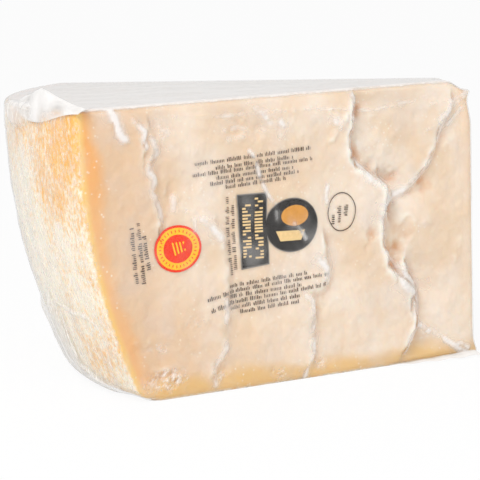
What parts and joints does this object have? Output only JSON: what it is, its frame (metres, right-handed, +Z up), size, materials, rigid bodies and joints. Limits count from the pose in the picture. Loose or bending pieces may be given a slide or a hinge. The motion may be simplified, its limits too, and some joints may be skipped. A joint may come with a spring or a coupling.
{
  "type": "parmesan chunk",
  "caption": "Wedge of hard aged cheese, cut from half the height of a wheel, with rind, split faces and a clear sealed bag drawn tight round it.",
  "frame": {"origin": "middle of the bounding box, on the flat base that the chunk rests on", "axes": "+X from the rind to the tip along the front split face, +Y into the wheel's other split face, +Z up"},
  "size_m": [0.1992, 0.1826, 0.1232],
  "materials": {
    "cheese": "dry cream to straw-yellow cheese with an ochre rind, seen through glossy clear film",
    "film": "thin clear shrink film, glossy",
    "print": "flat inks under glossy film"
  },
  "bodies": {
    "root": {"cheese_pack": "cheese", "bag_ear": "film", "bag_tail": "film"}
  },
  "joints": []
}
